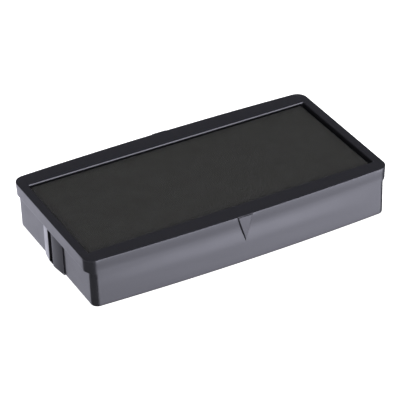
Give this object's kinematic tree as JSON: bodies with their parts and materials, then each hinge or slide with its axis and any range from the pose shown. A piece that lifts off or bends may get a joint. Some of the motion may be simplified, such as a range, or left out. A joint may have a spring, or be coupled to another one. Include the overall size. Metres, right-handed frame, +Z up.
{
  "type": "ink pad",
  "caption": "Replacement ink pad cartridge: a shallow one-piece plastic tray with a rim, end lugs and arrow marks that holds a cloth-covered, felt-backed pad.",
  "frame": {"origin": "middle of the flat underside", "axes": "+X along the tray, +Y across it, +Z up towards the pad's face"},
  "size_m": [0.058, 0.0318, 0.0093],
  "materials": {
    "tray_plastic": "satin moulded black plastic",
    "adhesive": "clear amber film",
    "felt": "dense felt soaked in black ink",
    "foam": "fine-pored foam soaked in black ink",
    "cloth": "fine plain weave, ink-stained, matt"
  },
  "bodies": {
    "root": {"cartridge_tray": "tray_plastic", "adhesive_film": "adhesive", "reservoir_felt": "felt", "transfer_foam": "foam", "cover_cloth": "cloth"}
  },
  "joints": []
}
